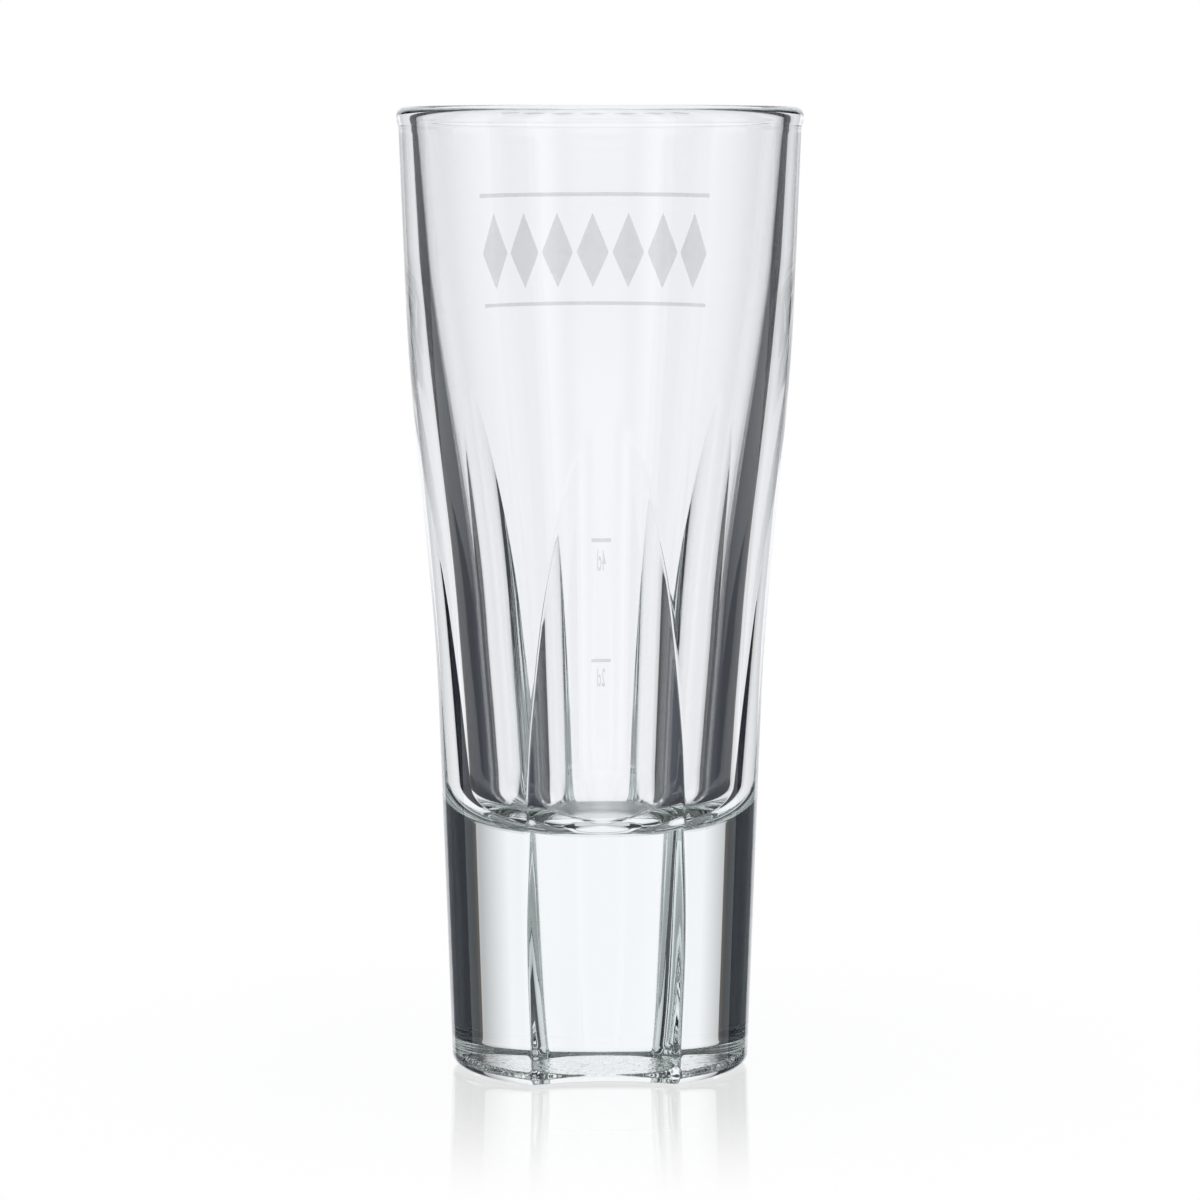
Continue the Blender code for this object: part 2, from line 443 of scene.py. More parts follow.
@dataclass(frozen=True)
class PaleEnamel:
    """Thin fired enamel in pale grey, a little uneven from the print screen."""

    name: str = "pale_enamel"
    light: Colour = (0.80, 0.81, 0.80)
    dark: Colour = (0.70, 0.71, 0.70)
    mottle_size: float = 0.0009
    mottle_detail: float = 3.0
    roughness: float = 0.42
    roughness_spread: float = 0.16
    cover: float = 0.16
    cover_spread: float = 0.08

    def material(self) -> bpy.types.Material:
        """Make the material.

        Returns:
            Enamel that lets some light through, with mottled colour, gloss and cover.
        """
        material = bpy.data.materials.new(self.name)
        material.use_nodes = True
        plan = NodePlan(material.node_tree)
        place = plan.add("ShaderNodeTexCoord").outputs["Object"]
        mottle = plan.value("ShaderNodeTexNoise", {}, {
            "Vector": place, "Scale": 1.0 / self.mottle_size, "Detail": self.mottle_detail,
        }, "Fac")
        colour = plan.add("ShaderNodeMix", {"data_type": "RGBA"}, {
            "Factor": mottle, "A": (*self.dark, 1.0), "B": (*self.light, 1.0),
        })
        surface = plan.add("ShaderNodeBsdfPrincipled", {}, {
            "Base Color": colour.outputs["Result"],
            "Roughness": self.roughness + (mottle - NOISE_MIDDLE) * self.roughness_spread,
            "Alpha": self.cover + (mottle - NOISE_MIDDLE) * self.cover_spread,
        })
        plan.add("ShaderNodeOutputMaterial", {}, {"Surface": surface.outputs[0]})
        return material


@dataclass(frozen=True)
class GlassSizes:
    """Sizes of the pressed glass. Its rules work on the inputs of a node tree.

    A taper or lean is the gain of radius per height. Each swell or bend eases a lower cone into an
    upper one between two heights, and a curve is the radius of a flute's hollow.
    """

    height: Term
    foot_radius: Term = 0.02217
    foot_taper: Term = 0.0355
    rim_radius: Term = 0.02986
    rim_taper: Term = 0.038
    swell_bottom: Term = 0.055
    swell_top: Term = 0.114
    rim_wall: Term = 0.00255
    bead: Term = 0.00028
    bead_drop: Term = 0.0015
    bore_floor: Term = 0.0363
    bore_foot_radius: Term = 0.01617
    bore_foot_taper: Term = 0.074
    bore_mouth_taper: Term = 0.080
    bore_swell_bottom: Term = 0.066
    bore_swell_top: Term = 0.1215
    bore_corner: Term = 0.007
    flute_floor_radius: Term = 0.0172
    flute_foot_lean: Term = 0.063
    flute_top_lean: Term = 0.180
    flute_bend_bottom: Term = 0.047
    flute_bend_top: Term = 0.077
    flute_foot_curve: Term = 0.031
    flute_body_curve: Term = 0.072
    flute_curve_height: Term = 0.034
    ridge_blend_foot: Term = 0.0007
    ridge_blend_top: Term = 0.0001
    ridge_soft_bottom: Term = 0.030
    ridge_soft_top: Term = 0.050
    foot_edge: Term = 0.0014
    ring_width: Term = 0.0022
    recess_depth: Term = 0.0008
    recess_slope: Term = 0.0008
    dimple_depth: Term = 0.00012
    seam_width: Term = 0.0024
    seam_top: Term = 0.075

    def half_wall(self) -> Value:
        """Half the thickness of the rim, which is the height of its round."""
        return (self.rim_wall + self.bead) / 2.0

    def rim_centre(self) -> Value:
        """Height of the centre of the rim's half-round section."""
        return self.height - self.half_wall()

    def recess_radius(self) -> Value:
        """Radius at which the recess meets the standing ring."""
        return self.flute_floor_radius - self.foot_edge - self.ring_width

    def corner_top(self) -> Value:
        """Height at which the bore's round corner begins."""
        return self.bore_floor + self.bore_corner

    def wall_radius(self, z: Value) -> Value:
        """Outer radius of the round sectors at height z, without flutes."""
        lower = self.foot_radius + self.foot_taper * z
        upper = self.rim_radius - self.rim_taper * (self.height - z)
        below = ((self.rim_centre() - z) / self.bead_drop).at_least(0.0).at_most(1.0)
        bead = self.bead * (1.0 - below * below)
        return lower.toward(upper, z.ease(self.swell_bottom, self.swell_top)) + bead

    def bore_radius(self, z: Value) -> Value:
        """Radius of the bore at height z, above its round corner."""
        lower = self.bore_foot_radius + self.bore_foot_taper * (z - self.bore_floor)
        upper = self.rim_radius - self.rim_wall - self.bore_mouth_taper * (self.height - z)
        return lower.toward(upper, z.ease(self.bore_swell_bottom, self.bore_swell_top))

    def flute_floor(self, z: Value) -> Value:
        """Distance from the axis to the deepest line of a flute at height z."""
        bend_length = self.flute_bend_top - self.flute_bend_bottom
        bent = (z - self.flute_bend_bottom).at_least(0.0).at_most(bend_length)
        above = (z - self.flute_bend_top).at_least(0.0)
        lean_gain = self.flute_top_lean - self.flute_foot_lean
        swing = lean_gain * (bent * bent / (bend_length * 2.0) + above)
        return self.flute_floor_radius + self.flute_foot_lean * z + swing

    def flute_curve(self, z: Value) -> Value:
        """Radius of a flute's hollow at height z."""
        risen = z.ease(0.0, self.flute_curve_height)
        return self.flute_foot_curve.toward(self.flute_body_curve, risen)

    def flute_half_angle(self, z: Value) -> Value:
        """Angle from a flute's middle to its ridges at height z, or 0 above the flute."""
        radius = self.wall_radius(z)
        curve = self.flute_curve(z)
        centre = self.flute_floor(z) + curve
        squares = radius * radius + centre * centre - curve * curve
        return (squares / (radius * centre * 2.0)).arccos()

    def fluted_radius(self, z: Value, offset: Value) -> Value:
        """Outer radius at height z and an angle from a flute's middle, with rounded ridges."""
        curve = self.flute_curve(z)
        centre = self.flute_floor(z) + curve
        across = centre * offset.sin()
        hollow = centre * offset.cos() - (curve * curve - across * across).root()
        softness = z.ease(self.ridge_soft_bottom, self.ridge_soft_top)
        blend = self.ridge_blend_foot.toward(self.ridge_blend_top, softness)
        return self.wall_radius(z).soft_least(hollow, blend)


@dataclass(frozen=True)
class Fineness:
    """How many steps the mesh of the glass takes along and round its profile."""

    recess: int = 34
    slope: int = 5
    standing_ring: int = 3
    foot_edge: int = 14
    wall: int = 172
    rim: int = 28
    bore: int = 116
    corner: int = 14
    floor: int = 11
    flute_columns: int = 40
    round_columns: int = 40

    def steps(self) -> dict[Stretch, int]:
        """Steps of each stretch of the profile, in order."""
        return {one: getattr(self, one.name.lower()) for one in Stretch}


@dataclass
class GlassBody:
    """The pressed glass: a solid foot, flutes that run out into the cone, a bore and a round rim.

    The shares say how the columns of its mesh are laid: the least part of a sector that a flute's
    columns cover, the part that they cover at the rim, and how much of their spacing is even.
    """

    sizes: GlassSizes
    finish: ClearGlass
    fineness: Fineness = Fineness()
    flutes: int = 3
    front: float = -QUARTER_TURN
    narrowest_share: float = 0.06
    rim_share: float = 0.19
    even_share: float = 0.25
    chill_start: float = 0.5
    dimple_size: float = 0.0016
    weld: float = 1e-6

    STIPPLED: ClassVar[str] = "stippled"
    CHILLED: ClassVar[str] = "chilled"
    SEAM: ClassVar[str] = "seam"

    def build(self) -> bpy.types.Object:
        """Grow the glass from one grid: rows follow the profile, and columns go round the axis.

        Returns:
            The finished piece.
        """
        plan = GeometryPlan("glass_body")
        sizes = plan.sized(self.sizes)
        steps = self.fineness.steps()
        rings = sum(steps.values()) + 1
        columns = self.flutes * (self.fineness.flute_columns + self.fineness.round_columns)
        grid = plan.add("GeometryNodeMeshGrid", {}, {
            "Vertices X": columns + 1, "Vertices Y": rings,
        })
        index = plan.value("GeometryNodeInputIndex")
        column = (index / rings).floor()
        along = self._along(index - column * rings, steps)
        z = self._wall_height(sizes, along)
        offset, angle = self._angles(sizes, column, z)
        radius = self._radius(sizes, along, z, offset)
        stippled = 1.0 - along[Stretch.SLOPE]
        dimples = self._dimples(plan, radius, angle) * stippled * sizes.dimple_depth
        level = self._level(sizes, along, z) + dimples
        marked = grid.outputs["Mesh"]
        beside = abs(offset - sizes.flute_half_angle(z)) * radius
        seam = (1.0 - beside.ease(0.0, sizes.seam_width)) * (1.0 - z.ease(0.0, sizes.seam_top))
        chilled = along[Stretch.CORNER].ease(self.chill_start, 1.0)
        marks = {self.STIPPLED: stippled, self.CHILLED: chilled, self.SEAM: seam}
        for name, amount in marks.items():
            marked = plan.add("GeometryNodeStoreNamedAttribute", {}, {
                "Geometry": marked, "Name": name, "Value": amount,
            }).outputs[0]
        shaped = plan.place(marked, radius * angle.cos(), radius * angle.sin(), level)
        closed = plan.add("GeometryNodeMergeByDistance", {}, {
            "Geometry": shaped, "Distance": self.weld,
        })
        return plan.bake("glass_body", closed.outputs[0], self.finish.material())

    @staticmethod
    def _along(ring: Value, steps: Mapping[Stretch, int]) -> dict[Stretch, Value]:
        """Say how far each stretch of the profile has run at a ring.

        Args:
            ring: The ring's number.
            steps: How many rings each stretch takes.

        Returns:
            A share for each stretch, 0 before it and 1 after it.
        """
        shares = {}
        start = 0
        for stretch, count in steps.items():
            shares[stretch] = ring.share(start, start + count)
            start += count
        return shares

    @staticmethod
    def _wall_height(sizes: GlassSizes, along: Mapping[Stretch, Value]) -> Value:
        """Height on the outer wall that a ring belongs to."""
        edge = sizes.foot_edge * (1.0 - (along[Stretch.FOOT_EDGE] * QUARTER_TURN).cos())
        return edge + (sizes.rim_centre() - sizes.foot_edge) * along[Stretch.WALL]

    def _angles(self, sizes: GlassSizes, column: Value, z: Value) -> tuple[Value, Value]:
        """Lay the columns round the axis, closest together at the ridges of the flutes.

        Args:
            sizes: The tree's sizes.
            column: The column's number.
            z: Height on the outer wall.

        Returns:
            The angle from the nearest flute's middle, and the angle round the axis.
        """
        sector = 2 * HALF_TURN / self.flutes
        flute, rest = self.fineness.flute_columns, self.fineness.round_columns
        number = (column / (flute + rest)).floor()
        place = column - number * (flute + rest)
        over_flute = place.share(0, flute)
        over_wall = place.share(flute, flute + rest)
        crowd = 1.0 - self.even_share
        half = sizes.flute_half_angle(z)
        opened = z.ease(sizes.flute_bend_top, sizes.height)
        half = half.at_least(opened * (self.rim_share * sector))
        half = half.at_least(self.narrowest_share * sector)
        flute_run = (over_flute * 2.0 - 1.0) * self.even_share
        flute_run = flute_run - (over_flute * HALF_TURN).cos() * crowd
        wall_run = over_wall * self.even_share
        wall_run = wall_run + (1.0 - (over_wall * HALF_TURN).cos()) * (crowd / 2)
        run = half * flute_run + (sector - half * 2.0) * wall_run
        return run.at_most(sector - run), run + number * sector + self.front

    @staticmethod
    def _radius(
        sizes: GlassSizes, along: Mapping[Stretch, Value], z: Value, offset: Value,
    ) -> Value:
        """Distance from the axis, as the sum of what each stretch adds.

        Args:
            sizes: The tree's sizes.
            along: How far each stretch has run.
            z: Height on the outer wall.
            offset: Angle from the nearest flute's middle.

        Returns:
            The radius of the point.
        """
        inset = sizes.foot_edge * (1.0 - (along[Stretch.FOOT_EDGE] * QUARTER_TURN).sin())
        outside = sizes.fluted_radius(z, offset) - inset
        under = (sizes.recess_radius() - sizes.recess_slope) * along[Stretch.RECESS]
        under = under + sizes.recess_slope * along[Stretch.SLOPE]
        outer = under + (outside - sizes.recess_radius()) * along[Stretch.STANDING_RING]
        top, low = sizes.rim_centre(), sizes.corner_top()
        half_rim = (sizes.wall_radius(top) - sizes.bore_radius(top)) / 2.0
        over_rim = half_rim * (1.0 - (along[Stretch.RIM] * HALF_TURN).cos())
        depth = top.toward(low, along[Stretch.BORE])
        down_bore = sizes.bore_radius(top) - sizes.bore_radius(depth)
        corner = sizes.bore_corner * (1.0 - (along[Stretch.CORNER] * QUARTER_TURN).cos())
        floor = (sizes.bore_radius(low) - sizes.bore_corner) * along[Stretch.FLOOR]
        return outer - over_rim - down_bore - corner - floor

    @staticmethod
    def _level(sizes: GlassSizes, along: Mapping[Stretch, Value], z: Value) -> Value:
        """Height of a point, as the sum of what each stretch adds."""
        recess = sizes.recess_depth * (1.0 - along[Stretch.SLOPE].ease())
        rim = sizes.half_wall() * (along[Stretch.RIM] * HALF_TURN).sin()
        bore = (sizes.rim_centre() - sizes.corner_top()) * along[Stretch.BORE]
        corner = sizes.bore_corner * (along[Stretch.CORNER] * QUARTER_TURN).sin()
        return recess + z + rim - bore - corner

    def _dimples(self, plan: GeometryPlan, radius: Value, angle: Value) -> Value:
        """Shallow dimples of the mould's stippled plate.

        Args:
            plan: The tree.
            radius: Distance of the point from the axis.
            angle: Angle of the point round the axis.

        Returns:
            A height from 0 to about 1.
        """
        spot = plan.add("ShaderNodeCombineXYZ", {}, {
            0: radius * angle.cos(), 1: radius * angle.sin(),
        })
        return plan.value("ShaderNodeTexVoronoi", {"feature": "SMOOTH_F1"}, {
            "Vector": spot.outputs[0], "Scale": 1.0 / self.dimple_size,
        }, "Distance")

    def dress(self, piece: bpy.types.Object) -> None:
        """Tie the glass to its node."""
        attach(piece, BODY)
        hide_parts("glass_body")


@dataclass(frozen=True)
class Mark:
    """One printed mark that takes its place from the node that it stands for."""

    node: str

    def middle(self) -> float:
        """Height of the middle of the mark."""
        low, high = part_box(self.node)
        return (low.z + high.z) / 2


@dataclass
class EnamelPrint:
    """The print on the back wall: fill lines with their volumes, and lozenges between two rules.

    The numerals' width and space are shares of the font's own, and their weight thickens its
    strokes.
    """

    sizes: GlassSizes
    finish: PaleEnamel
    clearance: float = 0.00006
    thickness: float = 0.00012
    back: float = QUARTER_TURN
    step: float = 0.0004
    line_rows: int = 2
    fill_line_width: float = 0.008
    fill_line_height: float = 0.00055
    numeral_height: float = 0.0042
    numeral_drop: float = 0.0043
    numeral_width: float = 0.68
    numeral_space: float = 0.3
    numeral_weight: float = 0.00007
    band_width: float = 0.042
    rule_height: float = 0.0006
    lozenges: int = 7
    lozenge_gap: float = 0.0008
    lozenge_height: float = 0.0120
    lozenge_tip: float = 0.0003
    lozenge_rows: int = 8
    weld: float = 1e-6

    FILL_LINES: ClassVar[dict[str, Mark]] = {
        "2 cl": Mark("fill_line_2cl"), "4 cl": Mark("fill_line_4cl"),
    }
    RULES: ClassVar[tuple[Mark, ...]] = (Mark("band_rule_lower"), Mark("band_rule_upper"))

    @cached_property
    def material(self) -> bpy.types.Material:
        """The finish that all marks share."""
        return self.finish.material()

    def _on_wall(self, plan: GeometryPlan, flat: bpy.types.NodeSocket) -> bpy.types.NodeSocket:
        """Wrap a flat shape round the back wall and give it its thickness.

        Args:
            plan: The tree.
            flat: Faces drawn with X along the wall and Y as the height above the foot.

        Returns:
            A closed skin that stands a hair clear of the glass.
        """
        sizes = plan.sized(self.sizes)
        real = plan.add("GeometryNodeRealizeInstances", {}, {"Geometry": flat})
        flat_place = plan.add("GeometryNodeInputPosition").outputs[0]
        spot = plan.add("ShaderNodeSeparateXYZ", {}, {0: flat_place})
        across, z = Value(plan, spot.outputs["X"]), Value(plan, spot.outputs["Y"])
        wall = sizes.wall_radius(z)
        angle = across / wall + self.back
        radius = wall + plan.size("clearance", self.clearance)
        inner = plan.place(real.outputs[0], radius * angle.cos(), radius * angle.sin(), z)
        outer = plan.add("GeometryNodeExtrudeMesh", {"mode": "FACES"}, {
            "Mesh": inner, "Offset Scale": plan.size("thickness", self.thickness),
            "Individual": False,
        })
        under = plan.add("GeometryNodeFlipFaces", {}, {"Mesh": inner})
        joined = plan.add("GeometryNodeJoinGeometry")
        for part in (outer.outputs["Mesh"], under.outputs["Mesh"]):
            plan.tree.links.new(part, joined.inputs[0])
        welded = plan.add("GeometryNodeMergeByDistance", {}, {
            "Geometry": joined.outputs[0], "Distance": self.weld,
        })
        return welded.outputs[0]

    def _sheet(
        self, plan: GeometryPlan, width: float, height: float, rows: int,
    ) -> bpy.types.NodeSocket:
        """Flat strip that is fine enough to follow the wall.

        Args:
            plan: The tree.
            width: Length along the wall.
            height: Height of the strip.
            rows: Faces over its height.

        Returns:
            The strip, centred on the origin.
        """
        columns = 2 * math.ceil(width / self.step / 2)
        grid = plan.add("GeometryNodeMeshGrid", {}, {
            "Size X": plan.size("width", width), "Size Y": plan.size("height", height),
            "Vertices X": columns + 1, "Vertices Y": rows + 1,
        })
        return grid.outputs["Mesh"]

    @staticmethod
    def _repeat(
        plan: GeometryPlan, shape: bpy.types.NodeSocket, count: int,
        start: tuple[float, float], end: tuple[float, float],
    ) -> bpy.types.NodeSocket:
        """Set copies of a flat shape at even places on a line.

        Args:
            plan: The tree.
            shape: The shape to repeat.
            count: How many copies.
            start: Place along the wall and height of the first copy.
            end: The same for the last copy.

        Returns:
            The copies, as instances.
        """
        line = plan.add("GeometryNodeMeshLine", {"mode": "END_POINTS"}, {
            "Count": count, "Start Location": (*start, 0.0), "Offset": (*end, 0.0),
        })
        copies = plan.add("GeometryNodeInstanceOnPoints", {}, {
            "Points": line.outputs[0], "Instance": shape,
        })
        return copies.outputs[0]

    def _lines(
        self, name: str, marks: Sequence[Mark], width: float, height: float,
    ) -> bpy.types.Object:
        """Print two level lines of one size.

        Args:
            name: The piece's name.
            marks: The marks that the lines stand for, lower one first.
            width: Length of a line.
            height: Height of a line.

        Returns:
            The finished piece.
        """
        plan = GeometryPlan(name)
        strip = self._sheet(plan, width, height, self.line_rows)
        low, high = (mark.middle() for mark in marks)
        pair = self._repeat(plan, strip, len(marks), (0.0, low), (0.0, high))
        piece = plan.bake(name, self._on_wall(plan, pair), self.material)
        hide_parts(*(mark.node for mark in marks))
        return piece

    def _lozenge_row(self) -> bpy.types.Object:
        """Print the row of lozenges.

        Returns:
            The finished piece.
        """
        plan = GeometryPlan("band_lozenges")
        pitch = self.band_width / self.lozenges
        width = pitch - self.lozenge_gap
        blank = self._sheet(plan, width, self.lozenge_height, self.lozenge_rows)
        flat_place = plan.add("GeometryNodeInputPosition").outputs[0]
        spot = plan.add("ShaderNodeSeparateXYZ", {}, {0: flat_place})
        across, up = Value(plan, spot.outputs["X"]), Value(plan, spot.outputs["Y"])
        tip = self.lozenge_tip / self.lozenge_height
        narrowing = 1.0 - abs(across) * ((1.0 - tip) * 2.0 / width)
        lozenge = plan.place(blank, across, up * narrowing, 0.0)
        middle = sum(mark.middle() for mark in self.RULES) / len(self.RULES)
        reach = pitch * (self.lozenges - 1) / 2
        row = self._repeat(plan, lozenge, self.lozenges, (-reach, middle), (reach, middle))
        piece = plan.bake("band_lozenges", self._on_wall(plan, row), self.material)
        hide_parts(*(f"band_lozenge_{number + 1}" for number in range(self.lozenges)))
        return piece

    def _numeral(self, words: str, mark: Mark) -> bpy.types.Object:
        """Print a volume below its fill line.

        Args:
            words: The volume.
            mark: The fill line that it belongs to.

        Returns:
            The finished piece.
        """
        name = f"numeral_{words.replace(' ', '')}"
        drawn = bpy.data.curves.new(name, "FONT")
        drawn.body = words
        drawn.align_x = "CENTER"
        drawn.size = self.numeral_height
        drawn.space_word = self.numeral_space
        drawn.offset = self.numeral_weight
        source = bpy.data.objects.new(name, drawn)
        flat = bpy.data.meshes.new_from_object(source)
        bpy.data.objects.remove(source)
        for vertex in flat.vertices:
            vertex.co.x *= self.numeral_width
            vertex.co.y += mark.middle() - self.numeral_drop
        plan = GeometryPlan(name)
        return plan.bake(name, self._on_wall(plan, plan.entry.outputs[0]), self.material, flat)

    def build(self) -> list[bpy.types.Object]:
        """Print every mark.

        Returns:
            The finished pieces.
        """
        fill_lines = tuple(self.FILL_LINES.values())
        pieces = [
            self._lines("fill_lines", fill_lines, self.fill_line_width, self.fill_line_height),
            self._lines("band_rules", self.RULES, self.band_width, self.rule_height),
            self._lozenge_row(),
        ]
        return pieces + [self._numeral(words, mark) for words, mark in self.FILL_LINES.items()]

    @staticmethod
    def dress(pieces: Sequence[bpy.types.Object]) -> None:
        """Tie the marks to the glass."""
        for piece in pieces:
            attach(piece, BODY)


@dataclass
class StudioFloor:
    """Plain white floor that keeps a soft shadow and a short mirror image of the foot."""

    reach: float = 40.0
    drop: float = 0.0002
    lit_share: float = 0.08
    mirror: float = 0.28
    mirror_roughness: float = 0.05
    mirror_start: float = 0.020
    mirror_end: float = 0.095

    def material(self) -> bpy.types.Material:
        """Make the floor's finish.

        Returns:
            A white that is partly lit and partly its own for the camera, and a fading mirror.
        """
        material = bpy.data.materials.new("studio_floor")
        material.use_nodes = True
        plan = NodePlan(material.node_tree)
        place = plan.add("ShaderNodeTexCoord").outputs["Object"]
        away = plan.value("ShaderNodeVectorMath", {"operation": "LENGTH"}, {0: place}, "Value")
        seen = plan.value("ShaderNodeLightPath", {}, {}, "Is Camera Ray")
        lit = plan.add("ShaderNodeBsdfDiffuse", {}, {"Color": (self.lit_share,) * 3 + (1.0,)})
        own = plan.add("ShaderNodeEmission", {}, {"Strength": seen * (1.0 - self.lit_share)})
        white = plan.add("ShaderNodeAddShader", {}, {0: lit.outputs[0], 1: own.outputs[0]})
        gloss = plan.add("ShaderNodeBsdfGlossy", {}, {
            "Color": (1.0,) * 4, "Roughness": self.mirror_roughness,
        })
        factor = (1.0 - away.ease(self.mirror_start, self.mirror_end)) * self.mirror
        mixed = plan.add("ShaderNodeMixShader", {}, {
            0: factor, 1: white.outputs[0], 2: gloss.outputs[0],
        })
        plan.add("ShaderNodeOutputMaterial", {}, {"Surface": mixed.outputs[0]})
        return material

    def build(self) -> bpy.types.Object:
        """Lay the floor just below the glass.

        Returns:
            The floor, which glass and mirrors look past.
        """
        far = self.reach
        places = ((-far, -far), (far, -far), (far, far), (-far, far))
        corners = [(x, y, -self.drop) for x, y in places]
        floor = stage_sheet("studio_floor", corners, self.material())
        floor.visible_transmission = False
        floor.visible_glossy = False
        return floor


@dataclass(frozen=True)
class Card:
    """One upright card of the studio, as it stands on the right of the glass.

    Its colours run from its near edge to its far one. Mirrored says whether reflections show it,
    and through says whether it shows through the glass.
    """

    name: str
    near: FloorPlace
    far: FloorPlace
    stops: Stops
    mirrored: bool
    through: bool

    def material(self) -> bpy.types.Material:
        """Make the card's finish.

        Returns:
            A plain glow of its colours.
        """
        material = bpy.data.materials.new(self.name)
        material.use_nodes = True
        plan = NodePlan(material.node_tree)
        sheet_place = plan.add("ShaderNodeTexCoord").outputs["UV"]
        spot = plan.add("ShaderNodeSeparateXYZ", {}, {0: sheet_place})
        tone = plan.add("ShaderNodeValToRGB", {"stops": self.stops}, {"Fac": spot.outputs["X"]})
        glow = plan.add("ShaderNodeEmission", {}, {"Color": tone.outputs["Color"]})
        plan.add("ShaderNodeOutputMaterial", {}, {"Surface": glow.outputs[0]})
        return material


@dataclass
class DarkCards:
    """Dark cards on both sides, which draw the outlines of the glass.

    Behind it stand a strip, a card and a wing, edge to edge, and before it stands a front card.
    They show only in the glass and through it.
    """

    half_height: float = 0.6
    turn: float = math.radians(-2.0)

    INNER_EDGE: ClassVar[FloorPlace] = (0.226, 0.287)
    OUTER_EDGE: ClassVar[FloorPlace] = (0.298, 0.140)
    CARDS: ClassVar[tuple[Card, ...]] = (
        Card(
            "dark_strip", (0.170, 0.322), INNER_EDGE,
            ((0.0, (0.30, 0.31, 0.33)), (0.4, (0.014, 0.016, 0.022))),
            mirrored=True, through=False,
        ),
        Card(
            "dark_card", INNER_EDGE, OUTER_EDGE,
            # Brownish near edge and bluish far edge are painted colour fringes, standing in for the
            # coloured glints of the glass's dispersion at its dark bands.
            (
                (0.0, (0.10, 0.075, 0.055)), (0.10, (0.012, 0.013, 0.018)),
                (0.80, (0.012, 0.016, 0.026)), (1.0, (0.040, 0.045, 0.060)),
            ),
            mirrored=True, through=True,
        ),
        Card(
            "dark_wing", OUTER_EDGE, (0.328, -0.035),
            (
                (0.0, (0.040, 0.045, 0.060)), (0.6, (0.060, 0.066, 0.085)),
                (1.0, (0.550, 0.580, 0.600)),
            ),
            mirrored=False, through=True,
        ),
        Card(
            "front_card", (0.226, -0.241), (0.306, -0.124),
            ((0.0, (0.010, 0.011, 0.012)), (1.0, (0.020, 0.022, 0.026))),
            mirrored=False, through=True,
        ),
    )

    def build(self) -> list[bpy.types.Object]:
        """Stand every card on the right and on the left.

        Returns:
            The cards.
        """
        finishes = {card.name: card.material() for card in self.CARDS}
        return [
            self._stand(card, side, finishes[card.name])
            for side in (1, -1) for card in self.CARDS
        ]

    def _stand(self, card: Card, side: int, material: bpy.types.Material) -> bpy.types.Object:
        """Stand one card up.

        Args:
            card: The card.
            side: 1 for the right and -1 for the left.
            material: Its finish.

        Returns:
            The card's sheet, which the camera and matt surfaces don't see.
        """
        (x0, y0), (x1, y1) = (self._turned(side * x, y) for x, y in (card.near, card.far))
        low, high = -self.half_height, self.half_height
        corners = [(x0, y0, low), (x1, y1, low), (x1, y1, high), (x0, y0, high)]
        sheet = stage_sheet(f"{card.name}_{'right' if side > 0 else 'left'}", corners, material)
        sheet.visible_camera = False
        sheet.visible_diffuse = False
        sheet.visible_shadow = False
        sheet.visible_glossy = card.mirrored
        sheet.visible_transmission = card.through
        return sheet

    def _turned(self, x: float, y: float) -> FloorPlace:
        """Turn a place on the floor about the axis of the glass."""
        cos, sin = math.cos(self.turn), math.sin(self.turn)
        return x * cos - y * sin, x * sin + y * cos


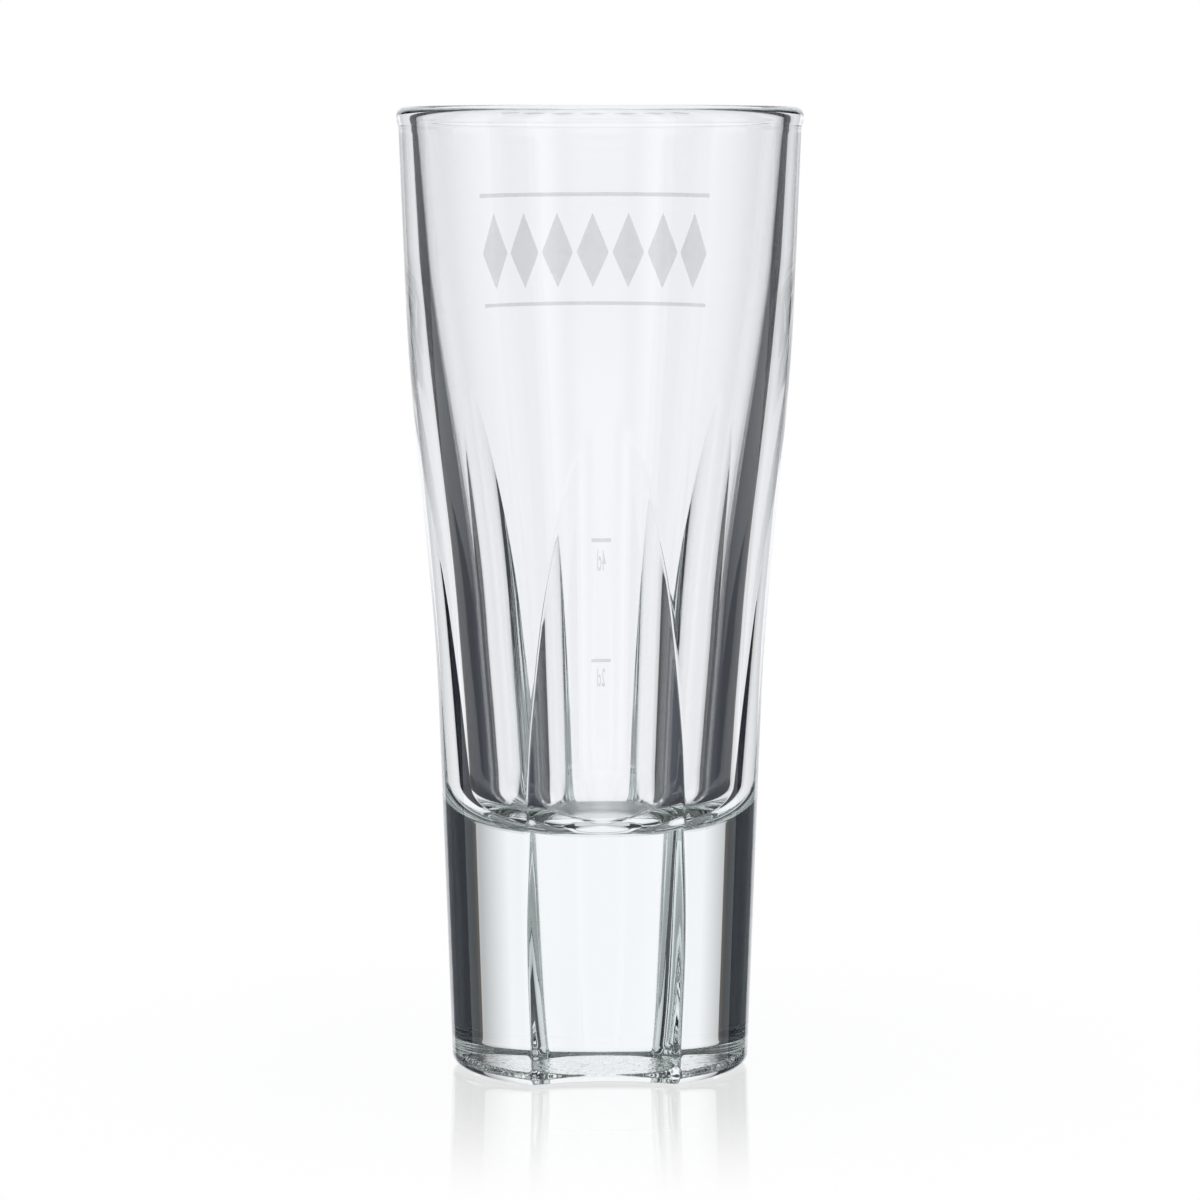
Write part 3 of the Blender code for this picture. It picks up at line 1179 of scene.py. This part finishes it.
@dataclass
class Surround:
    """White light for the floor, and a studio that only glass and mirrors show.

    Angles are in degrees: bearings from straight behind the glass, and heights above level. The
    backdrop darkens towards its sides, and a paler room lies beyond it. The front is dim, with two
    soft boxes, and is bright again round the camera, apart from a level gap.
    """

    centre: float = 2.0
    clear_tint: Colour = (0.965, 0.972, 1.0)
    side_start: float = 28.0
    side_end: float = 41.0
    side_light: float = 0.5
    room_start: float = 43.0
    room_end: float = 62.0
    room_light: float = 0.748
    front_start: float = 104.0
    front_end: float = 120.0
    front_light: float = 0.352
    near_start: float = 155.0
    near_end: float = 170.0
    near_light: float = 0.88
    lens_inner: float = 6.0
    lens_outer: float = 14.0
    room_tint: Colour = (0.90, 0.95, 0.975)
    roof_start: float = 30.0
    roof_end: float = 55.0
    roof_light: float = 0.15
    box_inner: float = 118.0
    box_outer: float = 159.0
    box_edge: float = 14.0
    box_light: float = 0.5

    def build(self) -> bpy.types.World:
        """Make the world.

        Returns:
            White for the camera and for matt surfaces, and the studio for mirrors and glass.
        """
        world = bpy.data.worlds.new("surround")
        world.use_nodes = True
        plan = NodePlan(world.node_tree)
        direction = plan.add("ShaderNodeTexCoord").outputs["Generated"]
        spot = plan.add("ShaderNodeSeparateXYZ", {}, {0: direction})
        x, y, z = (Value(plan, spot.outputs[axis]) for axis in "XYZ")
        heading = x.bearing(y) * DEGREES
        bearing = abs(heading - self.centre)
        rise = z.arcsin() * DEGREES
        rays = plan.add("ShaderNodeLightPath")
        shining = Value(plan, rays.outputs["Is Glossy Ray"])
        through = Value(plan, rays.outputs["Is Transmission Ray"])
        seen_in_glass = shining.at_least(through)
        studio_light = self._studio(abs(heading), bearing, rise)
        light = 1.0 - (1.0 - studio_light) * seen_in_glass
        studio = plan.add("ShaderNodeMix", {"data_type": "RGBA"}, {
            "Factor": bearing.share(self.room_start, self.room_end),
            "A": (*self.clear_tint, 1.0), "B": (*self.room_tint, 1.0),
        })
        tint = plan.add("ShaderNodeMix", {"data_type": "RGBA"}, {
            "Factor": seen_in_glass, "A": (1.0, 1.0, 1.0, 1.0), "B": studio.outputs["Result"],
        })
        sky = plan.add("ShaderNodeBackground", {}, {
            "Color": tint.outputs["Result"], "Strength": light,
        })
        plan.add("ShaderNodeOutputWorld", {}, {"Surface": sky.outputs[0]})
        return world

    def _studio(self, aside: Value, bearing: Value, rise: Value) -> Value:
        """Light of the studio that the glass shows.

        Args:
            aside: Degrees away from the middle of the backdrop.
            bearing: Degrees away from the line on which the cards are centred.
            rise: Degrees above level.

        Returns:
            The strength of the light from there.
        """
        backdrop = 1.0 - aside.share(self.side_start, self.side_end) * (1.0 - self.side_light)
        front = bearing.ease(self.front_start, self.front_end)
        room = self.room_light - front * (self.room_light - self.front_light)
        near = bearing.ease(self.near_start, self.near_end)
        off_level = abs(rise).ease(self.lens_inner, self.lens_outer)
        room = room + near * off_level * (self.near_light - self.front_light)
        wall = backdrop.toward(room, bearing.share(self.room_start, self.room_end))
        roof = 1.0 - rise.ease(self.roof_start, self.roof_end) * (1.0 - self.roof_light)
        box = bearing.ease(self.box_inner, self.box_inner + self.box_edge)
        box = box * (1.0 - bearing.ease(self.box_outer - self.box_edge, self.box_outer))
        return (wall + box * self.box_light) * roof


@dataclass
class ProductCamera:
    """Long lens a little above the glass."""

    distance: float = 0.720
    height: float = 0.1505
    pitch: float = math.radians(6.4)
    bearing: float = math.radians(-2.4)
    lens: float = 145.65
    sensor: float = 36.0
    nearest: float = 0.01

    def build(self) -> bpy.types.Object:
        """Set up the camera.

        Returns:
            The scene's camera.
        """
        data = bpy.data.cameras.new("product_camera")
        data.lens = self.lens
        data.sensor_width = self.sensor
        data.clip_start = self.nearest
        camera = bpy.data.objects.new("product_camera", data)
        bpy.context.scene.collection.objects.link(camera)
        aside, back = math.sin(self.bearing), math.cos(self.bearing)
        camera.location = (self.distance * aside, -self.distance * back, self.height)
        camera.rotation_euler = (QUARTER_TURN - self.pitch, 0.0, self.bearing)
        bpy.context.scene.camera = camera
        return camera


def stage_sheet(
    name: str, corners: Sequence[tuple[float, float, float]], material: bpy.types.Material,
) -> bpy.types.Object:
    """Make one flat sheet of the studio.

    Args:
        name: The sheet's name.
        corners: Its four corners, in order.
        material: Its finish.

    Returns:
        The sheet, with a UV map from its first corner.
    """
    mesh = bpy.data.meshes.new(name)
    mesh.from_pydata(corners, [], [(0, 1, 2, 3)])
    layer = mesh.uv_layers.new(name="sheet")
    for loop, spot in zip(layer.data, ((0, 0), (1, 0), (1, 1), (0, 1))):
        loop.uv = spot
    mesh.materials.append(material)
    sheet = bpy.data.objects.new(name, mesh)
    bpy.context.scene.collection.objects.link(sheet)
    return sheet


@dataclass(frozen=True)
class Picture:
    """Plain colour, and enough bounces for thick glass."""

    through_bounces: int = 32
    mirror_bounces: int = 16
    print_bounces: int = 16

    def set_up(self) -> None:
        """Set the scene's colour and bounces."""
        scene = bpy.context.scene
        scene.view_settings.view_transform = "Standard"
        scene.cycles.max_bounces = self.through_bounces
        scene.cycles.transmission_bounces = self.through_bounces
        scene.cycles.glossy_bounces = self.mirror_bounces
        scene.cycles.transparent_max_bounces = self.print_bounces


def report(piece: bpy.types.Object) -> None:
    """Log one finished piece."""
    LOG.info("%s: %d faces", piece.name, len(piece.data.polygons))


def main() -> None:
    """Build the glass, its print and the studio."""
    logging.basicConfig(level=logging.INFO, format="%(name)s: %(message)s")
    _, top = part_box("glass_body")
    sizes = GlassSizes(height=top.z)
    glass = GlassBody(sizes, ClearGlass())
    body = glass.build()
    glass.dress(body)
    report(body)
    enamel = EnamelPrint(sizes, PaleEnamel())
    marks = enamel.build()
    enamel.dress(marks)
    for mark in marks:
        report(mark)
    StudioFloor().build()
    DarkCards().build()
    bpy.context.scene.world = Surround().build()
    ProductCamera().build()
    Picture().set_up()


if __name__ == "__main__":
    main()
